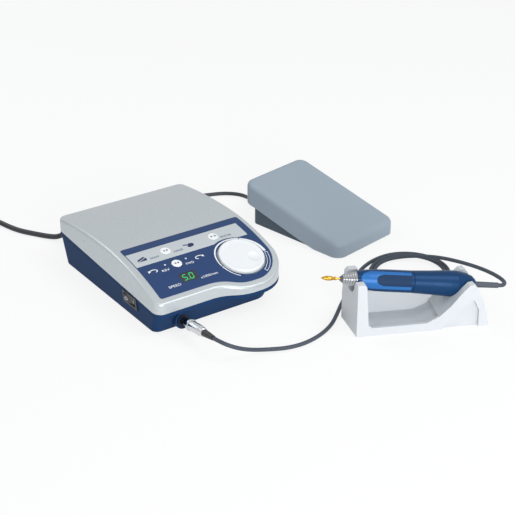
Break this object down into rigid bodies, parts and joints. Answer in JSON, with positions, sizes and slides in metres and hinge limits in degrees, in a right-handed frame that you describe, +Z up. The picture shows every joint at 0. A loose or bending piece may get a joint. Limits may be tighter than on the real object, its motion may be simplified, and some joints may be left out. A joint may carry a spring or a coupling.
{
  "type": "dental micromotor set",
  "caption": "Desktop micromotor set: wedge-shaped control unit with speed knob, foot pedal, and a motor handpiece lying on a moulded stand, joined by cords.",
  "frame": {"origin": "centre of the control unit's footprint, on the table", "axes": "+X to the control unit's right, +Y to its rear, +Z up"},
  "size_m": [0.5022, 0.6061, 0.0677],
  "materials": {
    "housing_navy": "satin",
    "cover_silver": "fine metallic satin",
    "label_print": "printed sheet",
    "display_black": "gloss",
    "knob_silver": "satin",
    "key_white": "satin",
    "rocker_black": "satin",
    "lamp_red": "clear lens",
    "board_green": "solder mask",
    "component_dark": "matte",
    "core_steel": "laminated",
    "steel": "satin",
    "chrome": "polished",
    "dark_steel": "dark oxide",
    "gold_carbide": "fine cut",
    "sink_aluminium": "extruded",
    "barrel_blue": "anodised satin",
    "accent_blue": "satin",
    "pad_blue": "soft touch",
    "stand_white": "satin",
    "pedal_top": "fine texture",
    "pedal_bottom": "fine texture",
    "rubber_black": "matte",
    "cord_grey": "smooth sheath",
    "connector_black": "matte",
    "pin_brass": "nickel on brass"
  },
  "bodies": {
    "base": {"base_housing": "housing_navy", "top_cover": "cover_silver", "panel_label": "label_print", "display_window": "display_black", "display_module": "component_dark", "potentiometer_body": "steel", "key_switches": "component_dark", "indicator_leds": "lamp_red", "front_board": "board_green", "power_board": "board_green", "board_components": "component_dark", "transformer": "core_steel", "heat_sink": "sink_aluminium", "switch_frame": "rocker_black", "motor_socket": "dark_steel", "fuse_holder": "connector_black", "pedal_socket": "connector_black", "rubber_feet": "rubber_black", "housing_screws": "steel", "stand": "stand_white", "pedal_base": "pedal_bottom", "hinge_pin": "steel", "return_spring": "steel", "pedal_board": "board_green", "pedal_feet": "rubber_black", "pedal_gland": "rubber_black", "mains_gland": "rubber_black", "power_cord": "cord_grey", "power_cord_coil": "cord_grey", "power_plug_body": "connector_black", "power_plug_pins": "pin_brass", "pedal_cord": "cord_grey", "pedal_cord_coil": "cord_grey", "pedal_plug": "connector_black", "motor_cord": "cord_grey", "plug_nose": "dark_steel", "plug_ring": "chrome", "plug_shell": "chrome", "plug_boot": "rubber_black"},
    "knob": {"speed_knob": "knob_silver", "potentiometer_shaft": "steel"},
    "select_key": {"drive_select_key": "key_white"},
    "direction_key_body": {"direction_key": "key_white"},
    "run_key": {"motor_run_key": "key_white"},
    "rocker": {"switch_rocker": "rocker_black"},
    "pedal": {"pedal_cover": "pedal_top"},
    "handpiece": {"nose_cone": "chrome", "motor_housing": "barrel_blue", "tail_cap": "barrel_blue", "cord_boot": "rubber_black", "front_bearing": "steel", "rear_bearing": "steel", "stator": "core_steel"},
    "sleeve": {"grip_sleeve": "barrel_blue", "grip_accent": "accent_blue", "grip_pad": "pad_blue"},
    "spindle_group": {"bur": "gold_carbide", "collet": "dark_steel", "spindle": "steel", "rotor": "core_steel"}
  },
  "joints": [
    {"name": "knob_turn", "type": "hinge", "parent": "base", "child": "knob", "pos_m": [0.042, -0.085, 0.05152], "axis": [0, -0.3025, 0.9531], "range_deg": [0, 270]},
    {"name": "select_press", "type": "slide", "parent": "base", "child": "select_key", "axis": [0, 0.2039, -0.979], "range_m": [0, 0.0006], "stiffness_N_per_m": 900},
    {"name": "direction_press", "type": "slide", "parent": "base", "child": "direction_key_body", "axis": [0, 0.2039, -0.979], "range_m": [0, 0.0006], "stiffness_N_per_m": 900},
    {"name": "run_press", "type": "slide", "parent": "base", "child": "run_key", "axis": [0, 0.2039, -0.979], "range_m": [0, 0.0006], "stiffness_N_per_m": 900},
    {"name": "power_rocker", "type": "hinge", "parent": "base", "child": "rocker", "pos_m": [-0.08407, -0.0545, 0.0226], "axis": [0.0981, 0, -0.9952], "range_deg": [0, 20]},
    {"name": "pedal_press", "type": "hinge", "parent": "base", "child": "pedal", "pos_m": [0.23316, -0.03657, 0.008], "axis": [-0.9799, -0.1994, 0], "range_deg": [0, 4], "stiffness_Nm_per_rad": 12, "springref_deg": -1.15, "deforming": ["return_spring"]},
    {"name": "handpiece_lift", "type": "slide", "parent": "base", "child": "handpiece", "axis": [0, 0, 1], "range_m": [0, 0.08]},
    {"name": "sleeve_twist", "type": "hinge", "parent": "handpiece", "child": "sleeve", "pos_m": [0.09055, -0.20288, 0.0608], "axis": [0.9011, -0.4107, -0.1392], "range_deg": [0, 55]},
    {"name": "spindle_spin", "type": "hinge", "parent": "handpiece", "child": "spindle_group", "pos_m": [0.09055, -0.20288, 0.0608], "axis": [0.9011, -0.4107, -0.1392], "continuous": true}
  ]
}
